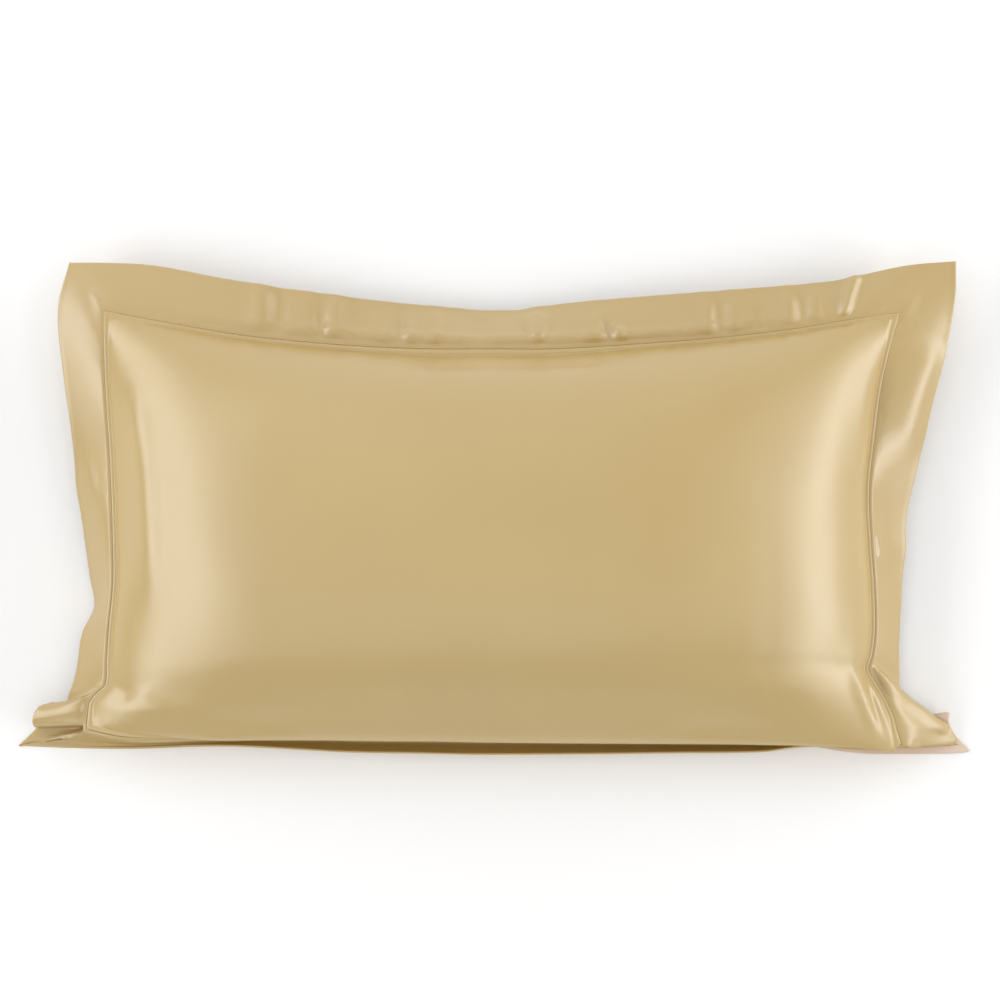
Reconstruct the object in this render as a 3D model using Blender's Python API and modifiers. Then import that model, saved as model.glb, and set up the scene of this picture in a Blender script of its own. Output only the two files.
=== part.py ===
"""A flanged satin pillowcase, king size, drawn over its pillow and lying on its back.

Metres, +Z up. +X runs along the long side and +Y towards the upper long side of the face.
The pocket is one filled body: a front and a back panel that meet on a stitch line. The border
is the doubled cloth outside that line, a ring of sheet that droops and folds by its own weight.
"""

import math
from typing import NamedTuple

import bmesh
import bpy
from mathutils import Vector

MM = 0.001

# Driving sizes. The flat case is a pocket of 914 x 508 mm with a border of 63.5 mm round it.
CROWN_RISE = 0.103         # how far the filling lifts the face over the stitch line
EDGE_RIB = 0.003           # the ridge in which the two panels meet
CLOTH_THICKNESS = 0.002    # the border: two panels, turned in and pressed
SEWN_GAP = 0.00036         # between the pocket's edge and the border
SEWN_LIP = 0.0030          # width of the border that the stitches hold level
FLOOR_GAP = 0.0003         # under the hem where it lies on the floor

# How the filling rounds the panels: a higher power keeps the middle flatter.
LENGTH_POWER = 3.0
WIDTH_POWER = 2.4
EDGE_POWER = 0.52
BACK_DEPTH = 0.086         # how deep the back would hang if no floor flattened it
FLOOR_ROUND = 0.004        # height over which the back turns into its flat patch
FOLD_FADE = 0.3            # share of the swelling over which folds grow from the stitch line

# How the border leaves the stitches and meets the hem, as shares of its reach and its drop.
SHOULDER_SHARE = 0.33
TOE_SHARE = 0.35
FLOOR_TOE_SHARE = 0.65     # where the hem lies on the floor
HEM_RESTS_BELOW = 0.002
HEM_HANGS_ABOVE = 0.008
CORNER_FADE = 0.02         # share of a side over which its folds die out at a corner

# Meshing
LENGTH_STEPS = 52
WIDTH_STEPS = 32
BORDER_STEPS = 6
EDGE_CROWDING = 0.72       # 0 spaces the steps evenly, 1 crowds them against the corners

# Corners of the stitch line and of the hem, in millimetres: across, up the face, above the floor.
STITCH_CORNERS = {
    "lower_left": Vector((-444, -243, 42)),
    "lower_right": Vector((441, -260, 42)),
    "upper_right": Vector((444, 213, 60)),
    "upper_left": Vector((-431, 215, 60)),
}
HEM_CORNERS = {
    "lower_left": Vector((-523, -259, 1)),
    "lower_right": Vector((522, -267, 1)),
    "upper_right": Vector((508, 272, 50)),
    "upper_left": Vector((-471, 271, 46)),
}
CORNER_ORDER = ("lower_left", "lower_right", "upper_right", "upper_left")


class Section(NamedTuple):
    """A cut across the border, in millimetres, at a share of the way along its side."""

    along: float
    stitch_in: float    # stitch line, inside the straight line between its two corners
    stitch_up: float    # stitch line, above the floor
    hem_in: float       # hem, inside the straight line between its two corners
    hem_up: float       # hem, above the floor


# The four sides, each from the corner it starts at to the next one, anticlockwise.
LOWER_SIDE = (
    Section(0.00, 0, 42, 0, 1),
    Section(0.05, -8, 47, -2, 1),
    Section(0.15, -9, 50, -4, 1),
    Section(0.30, -6, 52, -3, 1),
    Section(0.50, -5, 52, -5, 1),
    Section(0.70, -3, 52, -4, 1),
    Section(0.85, -1, 50, -3, 1),
    Section(0.95, 0, 46, -1, 1),
    Section(1.00, 0, 42, 0, 1),
)
RIGHT_SIDE = (
    Section(0.00, 0, 42, 0, 1),
    Section(0.05, 8, 46, 24, 14),
    Section(0.11, 20, 49, 59, 15),
    Section(0.17, 37, 53, 73, 11),
    Section(0.24, 31, 56, 72, 9),
    Section(0.36, 31, 60, 69, 10),
    Section(0.46, 34, 62, 64, 14),
    Section(0.58, 36, 64, 48, 26),
    Section(0.70, 30, 64, 32, 38),
    Section(0.82, 22, 63, 13, 49),
    Section(0.92, 11, 62, 2, 51),
    Section(1.00, 0, 60, 0, 50),
)
UPPER_SIDE = (
    Section(0.00, 0, 60, 0, 50),
    Section(0.06, 8, 62, 6, 50),
    Section(0.14, 20, 62, 22, 48),
    Section(0.24, 30, 62, 30, 44),
    Section(0.36, 38, 62, 38, 38),
    Section(0.44, 42, 62, 44, 32),
    Section(0.50, 42, 62, 51, 28),
    Section(0.60, 42, 62, 46, 32),
    Section(0.70, 38, 62, 36, 40),
    Section(0.82, 28, 62, 20, 50),
    Section(0.91, 15, 62, 4, 51),
    Section(1.00, 0, 60, 0, 46),
)
LEFT_SIDE = (
    Section(0.00, 0, 60, 0, 46),
    Section(0.10, 3, 62, -6, 47),
    Section(0.22, 8, 63, 6, 44),
    Section(0.34, 14, 63, 22, 38),
    Section(0.46, 19, 64, 36, 30),
    Section(0.56, 22, 62, 48, 20),
    Section(0.64, 24, 61, 58, 12),
    Section(0.70, 23, 59, 66, 8),
    Section(0.76, 21, 57, 57, 15),
    Section(0.84, 20, 54, 53, 20),
    Section(0.90, 19, 50, 33, 24),
    Section(0.93, 9, 47, 15, 26),
    Section(0.955, 3, 45, 9, 20),
    Section(0.97, 2, 44, 11, 7),
    Section(1.00, 0, 42, 0, 1),
)
SIDES = (LOWER_SIDE, RIGHT_SIDE, UPPER_SIDE, LEFT_SIDE)


class FaceFold(NamedTuple):
    """A soft ridge, or trough if its height is negative, on the front panel, in millimetres."""

    name: str
    from_x: float
    from_y: float
    to_x: float
    to_y: float
    reach: float        # how far it fades out to each side
    height: float


FACE_FOLDS = (
    FaceFold("left hollow beside the stitches", -410, 120, -394, -70, 15, -9),
    FaceFold("left ridge over the filling", -350, 130, -347, -150, 34, 5),
    FaceFold("lower left dimple", -409, -140, -390, -212, 12, -9),
    FaceFold("lower left dent", -388, -214, -352, -222, 14, -6),
    FaceFold("right ridge over the filling", 362, 140, 366, -120, 30, 5),
    FaceFold("right hollow beside it", 392, 120, 386, -90, 13, -6),
    FaceFold("first ridge from the pinch", 384, -180, 404, -250, 8, 8),
    FaceFold("trough between the ridges", 397, -182, 414, -250, 6, -7),
    FaceFold("second ridge from the pinch", 406, -190, 424, -250, 6, 6),
    FaceFold("lower slack, left", -330, -240, -210, -246, 12, -4),
    FaceFold("lower slack, right", 190, -248, 330, -250, 12, -5),
    FaceFold("slack under the upper stitches", -120, 166, 160, 166, 16, -5),
)


class BorderFold(NamedTuple):
    """A soft ridge, or trough if its height is negative, that runs across the border."""

    name: str
    side: int           # 0 lower, 1 right, 2 upper, 3 left
    at_stitches: float  # share of the side where it leaves the stitch line
    at_hem: float       # share of the side where it meets the hem
    reach: float        # share of the side over which it fades out
    height: float       # at the hem, in millimetres


BORDER_FOLDS = (
    BorderFold("lower ripple, left", 0, 0.20, 0.22, 0.030, 5),
    BorderFold("lower ripple, middle", 0, 0.46, 0.47, 0.040, 5),
    BorderFold("lower ripple, right", 0, 0.76, 0.74, 0.035, 6),
    BorderFold("ridge from the right pinch", 1, 0.17, 0.06, 0.025, 9),
    BorderFold("trough above that ridge", 1, 0.21, 0.14, 0.025, -6),
    BorderFold("right ripple", 1, 0.44, 0.42, 0.050, 7),
    BorderFold("upper right pleat", 2, 0.065, 0.105, 0.014, 7),
    BorderFold("upper kite fold", 2, 0.455, 0.470, 0.022, 10),
    BorderFold("upper left dip", 2, 0.77, 0.79, 0.030, -6),
    BorderFold("left ripple", 3, 0.38, 0.42, 0.060, 5),
    BorderFold("left lower lobe", 3, 0.90, 0.905, 0.035, 7),
    BorderFold("crease under the lobe", 3, 0.985, 0.972, 0.010, -4),
)


class LongFold(NamedTuple):
    """A soft ridge, or trough if its height is negative, that runs along the border."""

    name: str
    side: int
    from_along: float
    to_along: float
    from_across: float  # 0 at the stitch line, 1 at the hem
    to_across: float
    reach: float        # share of the border's width over which it fades out
    height: float       # in millimetres


LONG_FOLDS = (
    LongFold("right roll, hem to stitches", 1, 0.88, 0.58, 0.90, 0.42, 0.26, 6),
    LongFold("right upper trough", 1, 0.95, 0.74, 0.30, 0.20, 0.20, -4),
    LongFold("left trough by the stitches", 3, 0.10, 0.62, 0.25, 0.25, 0.22, -4),
    LongFold("upper trough by the stitches", 2, 0.30, 0.62, 0.28, 0.28, 0.24, -4),
)
LONG_FOLD_ENDS = 0.08      # share of the side over which a long fold dies out past its ends
LONG_FOLD_START = 0.125    # share of the border's width over which it grows from the stitches

# Colours of the satin, as linear RGB, and its gloss.
FACE_COLOUR = (0.61, 0.47, 0.235, 1.0)
BORDER_COLOUR = (0.55, 0.42, 0.20, 1.0)
SATIN_ROUGHNESS = 0.34


def read_column(rows, column, along):
    """Reads one column of a table at a share of the side, on a smooth curve through its rows."""
    places = [row.along for row in rows]
    values = [getattr(row, column) for row in rows]
    last = len(rows) - 1
    here = 0
    while here < last - 1 and along > places[here + 1]:
        here += 1

    def slope(index):
        low = max(index - 1, 0)
        high = min(index + 1, last)
        return (values[high] - values[low]) / (places[high] - places[low])

    span = places[here + 1] - places[here]
    t = (along - places[here]) / span
    return (
        (2 * t**3 - 3 * t**2 + 1) * values[here]
        + (t**3 - 2 * t**2 + t) * span * slope(here)
        + (3 * t**2 - 2 * t**3) * values[here + 1]
        + (t**3 - t**2) * span * slope(here + 1)
    )


def edge_point(corners, side, along, inside, up):
    """A point of the stitch line or the hem, in metres, from the line between two corners."""
    start = corners[CORNER_ORDER[side]]
    end = corners[CORNER_ORDER[(side + 1) % 4]]
    run = end - start
    inward = Vector((-run.y, run.x, 0)).normalized()
    point = start + run * along + inward * inside
    point.z = up
    return point * MM


def stitch_point(side, along):
    rows = SIDES[side]
    inside = read_column(rows, "stitch_in", along)
    up = read_column(rows, "stitch_up", along)
    return edge_point(STITCH_CORNERS, side, along, inside, up)


def hem_point(side, along):
    rows = SIDES[side]
    lowest = (CLOTH_THICKNESS / 2 + FLOOR_GAP) / MM
    inside = read_column(rows, "hem_in", along)
    up = max(read_column(rows, "hem_up", along), lowest)
    return edge_point(HEM_CORNERS, side, along, inside, up)


def crowded(share):
    """Moves evenly spaced shares towards 0 and 1, so that the mesh is finest at the edges."""
    return share - EDGE_CROWDING * math.sin(2 * math.pi * share) / (2 * math.pi)


def soft_floor(height):
    """Keeps a height at or above the floor, with a short round turn into the flat patch."""
    if height <= -FLOOR_ROUND:
        return 0.0
    if height < FLOOR_ROUND:
        return (height + FLOOR_ROUND) ** 2 / (4 * FLOOR_ROUND)
    return height


def stitched_surface(across, upward):
    """The smooth sheet that spans the stitch line; the panels swell away from it."""
    lower = stitch_point(0, across)
    right = stitch_point(1, upward)
    upper = stitch_point(2, 1 - across)
    left = stitch_point(3, 1 - upward)
    corners = (
        (1 - across) * (1 - upward) * stitch_point(0, 0)
        + across * (1 - upward) * stitch_point(1, 0)
        + across * upward * stitch_point(2, 0)
        + (1 - across) * upward * stitch_point(3, 0)
    )
    return (1 - upward) * lower + upward * upper + (1 - across) * left + across * right - corners


def swelling(across, upward):
    """How far the filling pushes a panel out: 0 on the stitch line, 1 in the middle."""
    length_part = 1 - abs(2 * across - 1) ** LENGTH_POWER
    width_part = 1 - abs(2 * upward - 1) ** WIDTH_POWER
    return max(length_part * width_part, 0) ** EDGE_POWER


def fold_height(point):
    """Sum of the folds of the front panel at a point, in metres."""
    total = 0.0
    for fold in FACE_FOLDS:
        start = Vector((fold.from_x, fold.from_y)) * MM
        run = Vector((fold.to_x, fold.to_y)) * MM - start
        offset = Vector((point.x, point.y)) - start
        share = min(max(offset.dot(run) / run.length_squared, 0), 1)
        distance = (offset - run * share).length / (fold.reach * MM)
        total += fold.height * MM * math.exp(-distance * distance)
    return total


def front_point(across, upward):
    point = stitched_surface(across, upward)
    lift = swelling(across, upward)
    edge_fade = min(lift / FOLD_FADE, 1)
    point.z += EDGE_RIB / 2 + CROWN_RISE * lift + fold_height(point) * edge_fade
    return point


def back_point(across, upward):
    point = stitched_surface(across, upward)
    hang = point.z - EDGE_RIB / 2 - BACK_DEPTH * swelling(across, upward)
    point.z = soft_floor(hang)
    return point


def add_panel(mesh, place):
    """Adds one panel of the pocket: a grid laid out on a square, then moved into place."""
    made = bmesh.ops.create_grid(mesh, x_segments=LENGTH_STEPS, y_segments=WIDTH_STEPS, size=1)
    for vertex in made["verts"]:
        across = crowded((vertex.co.x + 1) / 2)
        upward = crowded((vertex.co.y + 1) / 2)
        vertex.co = place(across, upward)


def new_object(name, mesh, collection, colour):
    """Closes a bmesh into an object with its own satin material."""
    data = bpy.data.meshes.new(name)
    mesh.to_mesh(data)
    mesh.free()
    data.shade_smooth()
    material = bpy.data.materials.new(name + "_satin")
    material.use_nodes = True
    shader = material.node_tree.nodes["Principled BSDF"]
    shader.inputs["Base Color"].default_value = colour
    shader.inputs["Roughness"].default_value = SATIN_ROUGHNESS
    shader.inputs["Metallic"].default_value = 0.0
    data.materials.append(material)
    made = bpy.data.objects.new(name, data)
    collection.objects.link(made)
    return made


def make_pocket(collection):
    """Front and back panel over the filling, joined by the narrow rib on the stitch line."""
    mesh = bmesh.new()
    add_panel(mesh, front_point)
    add_panel(mesh, back_point)
    rims = [edge for edge in mesh.edges if edge.is_boundary]
    bmesh.ops.bridge_loops(mesh, edges=rims)
    bmesh.ops.recalc_face_normals(mesh, faces=mesh.faces)
    return new_object("pocket", mesh, collection, FACE_COLOUR)


def border_stations():
    """The cuts across the border, anticlockwise: (side, share of the side) for each."""
    stations = []
    for side in range(4):
        steps = LENGTH_STEPS if side % 2 == 0 else WIDTH_STEPS
        stations += [(side, crowded(step / steps)) for step in range(steps)]
    return stations


def stitch_line(stations, outside):
    """The stitch line moved outwards, square to it on both sides of a corner."""
    points = [stitch_point(side, along) for side, along in stations]
    moved = []
    for index, point in enumerate(points):
        before = (point - points[index - 1]).xy.normalized()
        after = (points[(index + 1) % len(points)] - point).xy.normalized()
        out_before = Vector((before.y, -before.x))
        out_after = Vector((after.y, -after.x))
        outward = (out_before + out_after).normalized()
        reach = outside / outward.dot(out_before)
        moved.append(point + Vector((outward.x * reach, outward.y * reach, 0)))
    return moved


def border_fold_height(side, along, across):
    """Sum of the border's folds at a place on it, in metres; nothing moves at the stitches."""
    total = 0.0
    for fold in BORDER_FOLDS:
        if fold.side == side:
            middle = fold.at_stitches + (fold.at_hem - fold.at_stitches) * across
            distance = (along - middle) / fold.reach
            total += fold.height * MM * math.exp(-distance * distance)
    total *= math.sin(across * math.pi / 2)
    for fold in LONG_FOLDS:
        if fold.side == side:
            run = (along - fold.from_along) / (fold.to_along - fold.from_along)
            share = min(max(run, 0), 1)
            past_end = (run - share) * (fold.to_along - fold.from_along) / LONG_FOLD_ENDS
            middle = fold.from_across + (fold.to_across - fold.from_across) * share
            distance = (across - middle) / fold.reach
            grown = min(across / LONG_FOLD_START, 1)
            total += fold.height * MM * math.exp(-distance**2 - past_end**2) * grown
    corner_fade = min(along / CORNER_FADE, (1 - along) / CORNER_FADE, 1)
    return total * corner_fade


def border_point(side, along, lip, across):
    """A point of the border on a curve that leaves the lip level and droops to the hem."""
    hem = hem_point(side, along)
    reach = (hem - lip).xy.to_3d()
    drop = Vector((0, 0, lip.z - hem.z))
    hanging = (hem.z - HEM_RESTS_BELOW) / (HEM_HANGS_ABOVE - HEM_RESTS_BELOW)
    hanging = min(max(hanging, 0), 1)
    toe_share = FLOOR_TOE_SHARE + (TOE_SHARE - FLOOR_TOE_SHARE) * hanging
    shoulder = lip + reach * SHOULDER_SHARE
    toe = hem - reach * toe_share + drop * TOE_SHARE * hanging
    rest = 1 - across
    point = (
        rest**3 * lip
        + 3 * rest**2 * across * shoulder
        + 3 * rest * across**2 * toe
        + across**3 * hem
    )
    point.z += border_fold_height(side, along, across)
    point.z = max(point.z, CLOTH_THICKNESS / 2 + FLOOR_GAP)
    return point


def make_border(collection):
    """The ring of doubled cloth: a strip laid out as a grid, closed on itself and thickened."""
    stations = border_stations()
    sewn = stitch_line(stations, SEWN_GAP)
    lip = stitch_line(stations, SEWN_GAP + SEWN_LIP)
    around = len(stations)
    rows = BORDER_STEPS + 1
    mesh = bmesh.new()
    made = bmesh.ops.create_grid(mesh, x_segments=around, y_segments=rows, size=1)
    for vertex in made["verts"]:
        place = round((vertex.co.x + 1) / 2 * around) % around
        row = round((vertex.co.y + 1) / 2 * rows)
        side, along = stations[place]
        if row == 0:
            vertex.co = sewn[place]
        else:
            vertex.co = border_point(side, along, lip[place], (row - 1) / BORDER_STEPS)
    bmesh.ops.remove_doubles(mesh, verts=mesh.verts, dist=0.00001)
    bmesh.ops.recalc_face_normals(mesh, faces=mesh.faces)
    border = new_object("border", mesh, collection, BORDER_COLOUR)
    thicken = border.modifiers.new("two layers of cloth", "SOLIDIFY")
    thicken.thickness = CLOTH_THICKNESS
    thicken.offset = 0
    return border


def centre_on_floor(objects):
    """Puts the origin under the middle of the whole case, on the floor."""
    view = bpy.context.evaluated_depsgraph_get()
    points = [vertex.co for item in objects for vertex in item.evaluated_get(view).data.vertices]
    middle_x = (min(p.x for p in points) + max(p.x for p in points)) / 2
    middle_y = (min(p.y for p in points) + max(p.y for p in points)) / 2
    shift = Vector((-middle_x, -middle_y, 0))
    for item in objects:
        for vertex in item.data.vertices:
            vertex.co += shift


def main():
    for item in list(bpy.data.objects):
        bpy.data.objects.remove(item)
    collection = bpy.data.collections.new("pillowcase")
    bpy.context.scene.collection.children.link(collection)
    pocket = make_pocket(collection)
    border = make_border(collection)
    bpy.context.view_layer.update()
    centre_on_floor([pocket, border])


main()
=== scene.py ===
"""Dresses a flanged satin pillowcase, king size, drawn over its pillow and lying on its back.

Metres, +Z up. +X runs along the long side and +Y towards the upper long side of the face. The
tables give places in millimetres, across and up from the middle of the case, and heights above
the floor. The pocket is a front and a back panel over the filling. The border outside the stitch
line is one ring of doubled cloth that droops and folds. A line of stitches holds the two together.
"""

import logging
import math
from dataclasses import dataclass, field
from enum import Enum
from typing import Any, Callable, NamedTuple

import bmesh
import bpy
import numpy as np
from mathutils import Matrix, Vector


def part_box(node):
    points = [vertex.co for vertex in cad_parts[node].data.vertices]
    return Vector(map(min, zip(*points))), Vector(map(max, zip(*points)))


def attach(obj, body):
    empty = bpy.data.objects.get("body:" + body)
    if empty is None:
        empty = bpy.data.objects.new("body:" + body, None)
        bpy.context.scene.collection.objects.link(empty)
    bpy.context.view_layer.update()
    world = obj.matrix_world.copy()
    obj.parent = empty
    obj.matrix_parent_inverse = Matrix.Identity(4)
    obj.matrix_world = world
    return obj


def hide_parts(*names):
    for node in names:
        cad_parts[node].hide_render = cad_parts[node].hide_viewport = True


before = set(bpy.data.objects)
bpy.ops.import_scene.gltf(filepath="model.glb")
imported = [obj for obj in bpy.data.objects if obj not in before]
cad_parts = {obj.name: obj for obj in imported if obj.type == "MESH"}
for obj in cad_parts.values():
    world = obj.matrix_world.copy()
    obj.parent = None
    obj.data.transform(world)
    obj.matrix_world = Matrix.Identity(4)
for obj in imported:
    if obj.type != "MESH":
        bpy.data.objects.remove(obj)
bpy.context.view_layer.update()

MM = 0.001
BODY = "root"
FLAT_MAP = "flat"            # the UV map: places on the cloth as it was cut, in metres
SMALLEST = 1e-12             # keeps a division from failing where two points meet
LOG = logging.getLogger("pillowcase")

Grid = np.ndarray
Place = tuple[float, float]
Triple = tuple[float, float, float]
Colour = tuple[float, float, float, float]


class Side(Enum):
    """The four sides of the case, anticlockwise, by their place in the tables."""

    LOWER = 0
    RIGHT = 1
    UPPER = 2
    LEFT = 3


class Cut(NamedTuple):
    """A cut across the border, in millimetres, at a share of the way along its side."""

    along: float
    stitch_in: float         # stitch line, inside the straight line between its two corners
    stitch_up: float         # stitch line, above the floor
    hem_in: float            # hem, inside the straight line between its two corners
    hem_up: float            # hem, above the floor
    hem_slide: float = 0.0   # hem, pushed on along its side
    tuck: float = 0.0        # 1 where the border drops to the floor and is tucked under the face
    fall: float = 0.0        # 0 level at the stitches, 1 straight to the hem, 2 steep at first


# Corners of the stitch line and of the hem: across, up the face, above the floor.
STITCH_CORNERS = ((-444, -243, 42), (441, -260, 42), (444, 213, 60), (-431, 215, 60))
HEM_CORNERS = ((-523, -259, 1), (508, -258, 4), (508, 272, 50), (-471, 271, 46))

# The four sides, each from the corner it starts at to the next one, anticlockwise.
LOWER_CUTS = (
    Cut(0.00, 0, 42, 0, 1, 0, 0.7),
    Cut(0.05, -8, 47, -2, 1, 0, 1),
    Cut(0.12, -6, 49, -3, 3, 0, 1),
    Cut(0.195, -2, 51, -0.7, 6, 0, 1),
    Cut(0.237, -1, 51, -1.3, 13, 0, 1),
    Cut(0.30, 0, 52, -5, 21, 0, 1),
    Cut(0.35, 0, 52, -8, 25, 0, 1),
    Cut(0.43, 1, 52, -9.5, 26, 0, 1),
    Cut(0.486, 1, 52, -10.7, 26, 0, 1),
    Cut(0.61, 2, 52, -10.3, 26, 0, 1),
    Cut(0.70, 3, 52, -9.3, 26, 0, 1),
    Cut(0.79, 4, 51, -8, 22, 0, 1),
    Cut(0.83, 4, 51, -2.6, 10, 0, 1),
    Cut(0.855, 4, 50, -1.5, 6, 0, 1),
    Cut(0.872, 4, 50, -3, 4, 0, 1),
    Cut(0.907, 3, 49, -5, 4, 0, 1),
    Cut(0.94, 3, 47, -3, 4, 0, 1),
    Cut(0.97, 1, 44, -1, 4, 0, 0.8),
    Cut(1.00, 0, 42, 0, 4),
)
RIGHT_CUTS = (
    Cut(0.00, 0, 42, 0, 4),
    Cut(0.0185, 3, 43, 6, 6),
    Cut(0.037, 6, 45, 11, 8),
    Cut(0.061, 9, 46, 28, 11),
    Cut(0.0855, 14, 47, 47, 13),
    Cut(0.114, 21, 49, 59.5, 15),
    Cut(0.147, 31, 51, 65, 16, 0, 0, 0.4),
    Cut(0.17, 37, 53, 66, 17, 0, 0, 0.6),
    Cut(0.205, 33, 55, 66, 18, 0, 0, 0.9),
    Cut(0.26, 30, 57, 64.5, 21, 0, 0, 1.4),
    Cut(0.36, 31, 60, 61, 24, 0, 0, 1.6),
    Cut(0.46, 34, 62, 58, 26, 0, 0, 1.6),
    Cut(0.58, 36, 64, 43, 30, 0, 0, 1.2),
    Cut(0.70, 30, 64, 29, 38, 0, 0, 0.5),
    Cut(0.82, 22, 63, 12, 45),
    Cut(0.92, 11, 62, 2, 49),
    Cut(1.00, 0, 60, 0, 50),
)
UPPER_CUTS = (
    Cut(0.00, 0, 60, 0, 50),
    Cut(0.06, 8, 62, 6, 50),
    Cut(0.14, 20, 62, 22, 48),
    Cut(0.24, 30, 62, 30, 44),
    Cut(0.36, 38, 62, 38, 38),
    Cut(0.44, 42, 62, 44, 32),
    Cut(0.50, 42, 62, 51, 28),
    Cut(0.60, 42, 62, 46, 32),
    Cut(0.70, 38, 62, 36, 40),
    Cut(0.82, 28, 62, 20, 50),
    Cut(0.91, 15, 62, 4, 51),
    Cut(1.00, 0, 60, 0, 46),
)
LEFT_CUTS = (
    Cut(0.00, 0, 60, 0, 46, 0, 0, 0.6),
    Cut(0.10, 3, 62, -6, 46, 0, 0, 0.7),
    Cut(0.22, 8, 63, 6, 42, 0, 0, 1),
    Cut(0.34, 14, 63, 22, 38, 0, 0, 1),
    Cut(0.46, 19, 64, 36, 30, 0, 0, 0.5),
    Cut(0.56, 22, 62, 48, 20, 0, 0, 0.6),
    Cut(0.64, 24, 61, 58, 12, 0, 0, 0.8),
    Cut(0.70, 23, 59, 66, 8, 0, 0, 0.9),
    Cut(0.76, 21, 57, 57, 15, 0, 0, 1),
    Cut(0.84, 20, 54, 56, 20, 0, 0, 1),
    Cut(0.895, 19, 50, 49, 24, 0, 0, 0.8),
    Cut(0.915, 10, 48, 34, 24, -2),
    Cut(0.935, 3, 47, 22, 26, -5),
    Cut(0.96, 1, 45, 17, 24, -8),
    Cut(0.985, 0, 43, 17, 18, -15),
    Cut(0.991, 0, 42.5, 18, 2, -17, 0.8),
    Cut(1.00, 0, 42, 0, 1, 0, 0.7),
)
SIDE_CUTS = (LOWER_CUTS, RIGHT_CUTS, UPPER_CUTS, LEFT_CUTS)


@dataclass(frozen=True)
class Crease:
    """A soft ridge, or trough if its height is negative, along a bent line, in millimetres."""

    name: str
    start: Place
    middle: Place            # the line passes through it half way
    end: Place
    reach: float             # how far it fades out to each side
    height: float
    start_share: float = 0.0  # share of the height that is left at the start
    end_share: float = 0.0    # share of the height that is left at the end

    STEPS = 16
    TAPER = 0.3              # share of the line over which the ends die out
    VIEW = 3.2               # multiples of the reach past which it has faded out

    def line(self) -> Grid:
        """Returns the points of the bent line, in metres."""
        start, middle, end = (np.array(place) * MM for place in (self.start, self.middle, self.end))
        pull = 2 * middle - (start + end) / 2
        share = np.linspace(0, 1, self.STEPS + 1)[:, None]
        return (1 - share) ** 2 * start + 2 * share * (1 - share) * pull + share**2 * end

    def strength(self, share: Grid) -> Grid:
        """Works out how much of the height is there at each share of the line.

        Args:
            share: shares of the way along the line.

        Returns:
            Shares of the height.
        """
        grown = self.start_share + (1 - self.start_share) * smooth(share / self.TAPER)
        left = self.end_share + (1 - self.end_share) * smooth((1 - share) / self.TAPER)
        return grown * left

    def raise_at(self, spots: Grid) -> Grid:
        """Measures the crease at places on the cloth.

        Args:
            spots: one row for each place, across and up, in metres.

        Returns:
            The height of the crease at each place, in metres.
        """
        raised = np.zeros(len(spots))
        line = self.line()
        reach = self.reach * MM
        margin = self.VIEW * reach
        near = np.all((spots > line.min(0) - margin) & (spots < line.max(0) + margin), axis=1)
        if not near.any():
            return raised
        runs = line[1:] - line[:-1]
        offset = spots[near][:, None, :] - line[None, :-1]
        share = np.clip((offset * runs).sum(-1) / (runs**2).sum(-1), 0, 1)
        distance = np.linalg.norm(offset - share[..., None] * runs, axis=-1)
        nearest = distance.argmin(axis=1)
        row = np.arange(len(nearest))
        distance = distance[row, nearest]
        along = (nearest + share[row, nearest]) / self.STEPS
        raised[near] = self.height * MM * self.strength(along) * np.exp(-((distance / reach) ** 2))
        return raised


def smooth(share: Grid) -> Grid:
    """Eases a share from 0 to 1 with level ends."""
    share = np.clip(share, 0, 1)
    return share * share * (3 - 2 * share)


def swing(place: Grid) -> Grid:
    """Rises from 0 at 0 to 1 at 1 and dies out slowly after it."""
    return place * np.exp(1 - place)


def smooth_through(places: Grid, values: Grid, where: Grid) -> Grid:
    """Reads a smooth curve through given values.

    Args:
        places: where the values hold, rising.
        values: the values there.
        where: the places to read.

    Returns:
        The curve's values at those places.
    """
    slopes = np.empty(len(values))
    slopes[1:-1] = (values[2:] - values[:-2]) / (places[2:] - places[:-2])
    slopes[0] = (values[1] - values[0]) / (places[1] - places[0])
    slopes[-1] = (values[-1] - values[-2]) / (places[-1] - places[-2])
    here = np.clip(np.searchsorted(places, where) - 1, 0, len(places) - 2)
    span = places[here + 1] - places[here]
    t = (where - places[here]) / span
    return (
        (2 * t**3 - 3 * t**2 + 1) * values[here]
        + (t**3 - 2 * t**2 + t) * span * slopes[here]
        + (3 * t**2 - 2 * t**3) * values[here + 1]
        + (t**3 - t**2) * span * slopes[here + 1]
    )


def surface_normals(places: Grid, closed: bool = False) -> Grid:
    """Works out which way a grid of points faces.

    Args:
        places: the points, by column and row.
        closed: whether the last column is next to the first one.

    Returns:
        A unit vector for each point, square to the surface.
    """
    if closed:
        wrapped = np.concatenate([places[-1:], places, places[:1]])
        over = (wrapped[2:] - wrapped[:-2]) / 2
    else:
        over = np.gradient(places, axis=0)
    up = np.gradient(places, axis=1)
    normal = np.cross(over, up)
    return normal / np.maximum(np.linalg.norm(normal, axis=-1, keepdims=True), SMALLEST)


def upper_normals(ring: Grid) -> Grid:
    """Works out which way the upper face of a closed ring of points looks."""
    normals = surface_normals(ring, closed=True)
    return normals * np.sign(normals[..., 2:].mean())


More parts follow.
